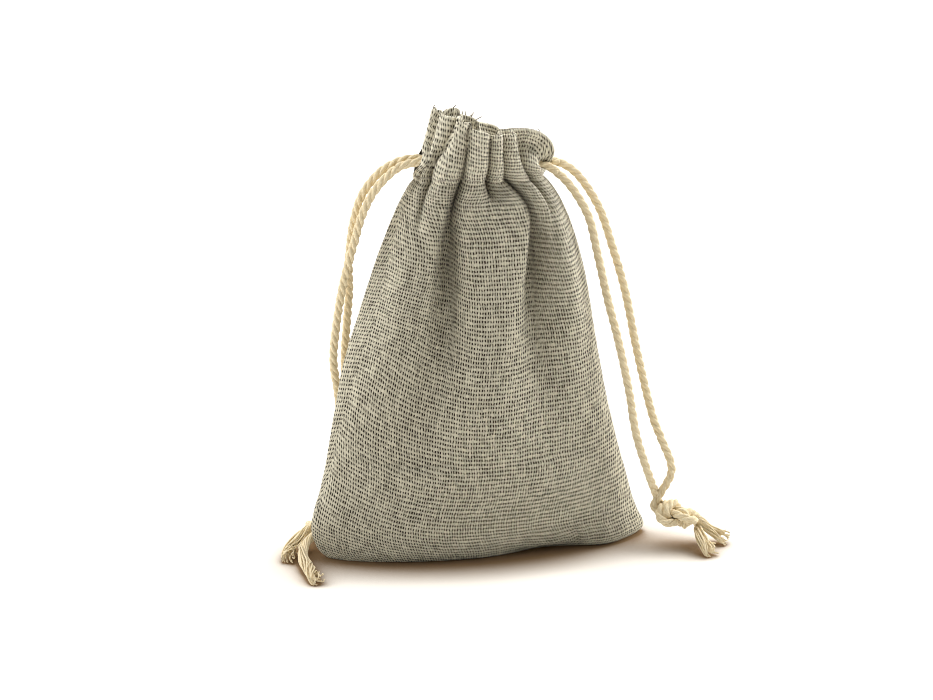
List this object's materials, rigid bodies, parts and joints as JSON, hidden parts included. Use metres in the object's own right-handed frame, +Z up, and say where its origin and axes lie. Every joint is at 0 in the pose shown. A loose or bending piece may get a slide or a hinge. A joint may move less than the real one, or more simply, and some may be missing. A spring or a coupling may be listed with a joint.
{
  "type": "drawstring pouch",
  "caption": "Small standing linen pouch with a gathered neck, drawn shut by twisted cotton cords that leave at opposite sides and end in knots and frayed tails.",
  "frame": {"origin": "centre of the base on the table, under the middle of the bag without its cords", "axes": "+Z up, -Y towards the front of the bag, +X to the right seen from the front"},
  "size_m": [0.1323, 0.0479, 0.1289],
  "materials": {
    "linen": "undyed grey-beige plain-weave linen",
    "cotton": "cream twisted cotton cord",
    "thread": "matt grey-beige sewing thread"
  },
  "bodies": {
    "bag": {"front_panel": "linen", "back_panel": "linen", "left_side_seam": "linen", "right_side_seam": "linen", "left_seam_stitch": "thread", "right_seam_stitch": "thread"},
    "front_lip": {"front_casing": "linen", "front_casing_stitch": "thread", "left_cord_front_run": "cotton", "right_cord_front_run": "cotton"},
    "back_lip": {"back_casing": "linen", "back_casing_stitch": "thread", "left_cord_back_run": "cotton", "right_cord_back_run": "cotton"},
    "left_pull": {"left_front_strand": "cotton", "left_back_strand": "cotton"},
    "left_end": {"left_knot": "cotton", "left_front_tail": "cotton", "left_back_tail": "cotton"},
    "right_pull": {"right_front_strand": "cotton", "right_back_strand": "cotton"},
    "right_end": {"right_knot": "cotton", "right_front_tail": "cotton", "right_back_tail": "cotton"}
  },
  "joints": [
    {"name": "mouth_open", "type": "slide", "parent": "bag", "child": "front_lip", "axis": [0, -1, 0], "range_m": [0, 0.012]},
    {"name": "back_lip_open", "type": "slide", "parent": "bag", "child": "back_lip", "axis": [0, 1, 0], "range_m": [0, 0.012]},
    {"name": "left_swing", "type": "hinge", "parent": "bag", "child": "left_pull", "pos_m": [-0.028, 0, 0.1112], "axis": [0, 1, 0], "range_deg": [0, 75]},
    {"name": "left_draw", "type": "slide", "parent": "left_pull", "child": "left_end", "axis": [-0.04, 0.08, 0.996], "range_m": [0, 0.016], "deforming": ["left_front_strand", "left_back_strand"]},
    {"name": "right_swing", "type": "hinge", "parent": "bag", "child": "right_pull", "pos_m": [0.0275, 0, 0.1098], "axis": [0, -1, 0], "range_deg": [0, 75]},
    {"name": "right_draw", "type": "slide", "parent": "right_pull", "child": "right_end", "axis": [-0.267, 0.131, 0.9547], "range_m": [0, 0.016], "deforming": ["right_front_strand", "right_back_strand"]}
  ],
  "couplings": [
    {"joint": "back_lip_open", "follows": "mouth_open", "ratio": 1},
    {"joint": "left_draw", "follows": "mouth_open", "ratio": 1.3333},
    {"joint": "right_draw", "follows": "mouth_open", "ratio": 1.3333}
  ]
}
